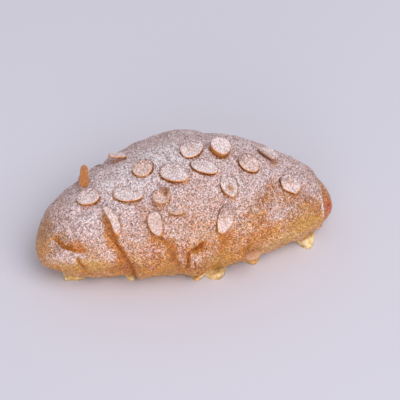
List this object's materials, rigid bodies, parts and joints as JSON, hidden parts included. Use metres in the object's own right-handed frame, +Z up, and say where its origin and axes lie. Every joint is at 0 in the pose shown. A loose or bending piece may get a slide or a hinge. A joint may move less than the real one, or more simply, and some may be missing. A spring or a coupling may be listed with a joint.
{
  "type": "almond croissant",
  "caption": "Almond croissant: a rolled, baked pastry with almond cream coming out along its base, topped with sliced almonds and icing sugar.",
  "frame": {"origin": "middle of the whole croissant's outline as seen from above, on the table it rests on", "axes": "+X along the croissant towards its reddish, caramelised tip, -Y towards its front, the side the picture shows, +Z up"},
  "size_m": [0.164, 0.088, 0.0624],
  "materials": {
    "crust": "matte",
    "almond_cream": "satin",
    "sliced_almond": "matte"
  },
  "bodies": {
    "root": {"pastry": "crust", "almond_cream": "almond_cream", "almond_slice_01": "sliced_almond", "almond_slice_02": "sliced_almond", "almond_slice_03": "sliced_almond", "almond_slice_04": "sliced_almond", "almond_slice_05": "sliced_almond", "almond_slice_06": "sliced_almond", "almond_slice_07": "sliced_almond", "almond_slice_08": "sliced_almond", "almond_slice_09": "sliced_almond", "almond_slice_10": "sliced_almond", "almond_slice_11": "sliced_almond", "almond_slice_12": "sliced_almond", "almond_slice_13": "sliced_almond", "almond_slice_14": "sliced_almond", "almond_slice_15": "sliced_almond", "almond_slice_16": "sliced_almond", "almond_slice_17": "sliced_almond", "almond_slice_18": "sliced_almond", "almond_slice_19": "sliced_almond", "almond_slice_20": "sliced_almond", "almond_slice_21": "sliced_almond", "almond_slice_22": "sliced_almond", "almond_slice_23": "sliced_almond", "almond_slice_24": "sliced_almond", "almond_slice_25": "sliced_almond", "almond_slice_26": "sliced_almond", "almond_slice_27": "sliced_almond"}
  },
  "joints": []
}
